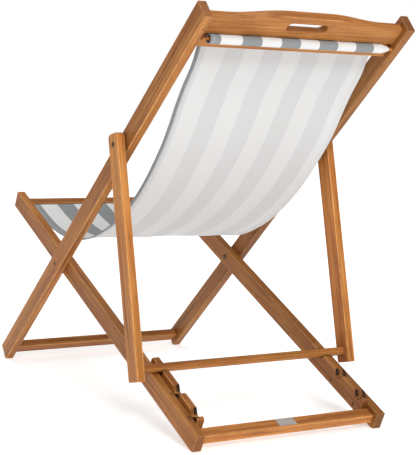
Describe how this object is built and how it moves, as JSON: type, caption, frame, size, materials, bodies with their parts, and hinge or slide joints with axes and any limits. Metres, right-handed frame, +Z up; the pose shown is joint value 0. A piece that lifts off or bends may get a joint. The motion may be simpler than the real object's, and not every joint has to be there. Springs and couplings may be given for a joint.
{
  "type": "folding sling chair",
  "caption": "Wooden folding deck chair: crossed back and seat frames, an outer prop frame whose bar drops into notched racks, a striped fabric sling and a crest rail with a hand slot.",
  "frame": {"origin": "centre of the footprint box, on the floor the chair stands on", "axes": "+Z up; the sitter faces -Y, so the crest is towards +Y; +X is to the sitter's left; every hinge axis is parallel to X"},
  "size_m": [0.5854, 0.9956, 0.9151],
  "materials": {
    "oiled_hardwood": "oiled, satin",
    "rack_hardwood": "oiled, satin, scorched in the notches",
    "woven_sling": "plain weave, wide stripes printed on the upper side",
    "plated_steel": "dull plated",
    "label_aluminium": "satin, blank"
  },
  "bodies": {
    "seat_frame": {"label_plate": "label_aluminium", "pin_front_rail_left": "plated_steel", "pin_front_rail_right": "plated_steel", "pin_front_slat_left": "plated_steel", "pin_front_slat_right": "plated_steel", "pin_rear_rail_left": "plated_steel", "pin_rear_rail_right": "plated_steel", "rack_left": "rack_hardwood", "rack_right": "rack_hardwood", "rack_screw_front_left": "plated_steel", "rack_screw_front_right": "plated_steel", "rack_screw_rear_left": "plated_steel", "rack_screw_rear_right": "plated_steel", "scissor_bolt_left": "plated_steel", "scissor_bolt_right": "plated_steel", "scissor_nut_left": "plated_steel", "scissor_nut_right": "plated_steel", "scissor_washer_left": "plated_steel", "scissor_washer_right": "plated_steel", "seat_front_rail": "oiled_hardwood", "seat_front_slat": "oiled_hardwood", "seat_rail_left": "oiled_hardwood", "seat_rail_right": "oiled_hardwood", "seat_rear_rail": "oiled_hardwood", "sling_bar_front": "oiled_hardwood"},
    "back_frame": {"back_foot_rail": "oiled_hardwood", "back_rail_left": "oiled_hardwood", "back_rail_right": "oiled_hardwood", "crest_rail": "oiled_hardwood", "pin_crest_left": "plated_steel", "pin_crest_right": "plated_steel", "pin_foot_rail_left": "plated_steel", "pin_foot_rail_right": "plated_steel", "pin_top_slat_left": "plated_steel", "pin_top_slat_right": "plated_steel", "prop_bolt_left": "plated_steel", "prop_bolt_right": "plated_steel", "prop_nut_left": "plated_steel", "prop_nut_right": "plated_steel", "prop_spacer_left": "plated_steel", "prop_spacer_right": "plated_steel", "sling": "woven_sling", "sling_bar_top": "oiled_hardwood", "top_slat": "oiled_hardwood"},
    "prop_frame": {"pin_prop_bar_left": "plated_steel", "pin_prop_bar_right": "plated_steel", "prop_bar": "oiled_hardwood", "prop_leg_left": "oiled_hardwood", "prop_leg_right": "oiled_hardwood"}
  },
  "joints": [
    {"name": "back_fold", "type": "hinge", "parent": "seat_frame", "child": "back_frame", "pos_m": [0, -0.17234, 0.2985], "axis": [1, 0, 0], "range_deg": [0, 100], "deforming": ["sling"]},
    {"name": "prop_swing", "type": "hinge", "parent": "back_frame", "child": "prop_frame", "pos_m": [0, 0.16902, 0.6113], "axis": [1, 0, 0], "range_deg": [-50, 0]}
  ],
  "couplings": [
    {"joint": "prop_swing", "follows": "back_fold", "ratio": -0.5}
  ]
}
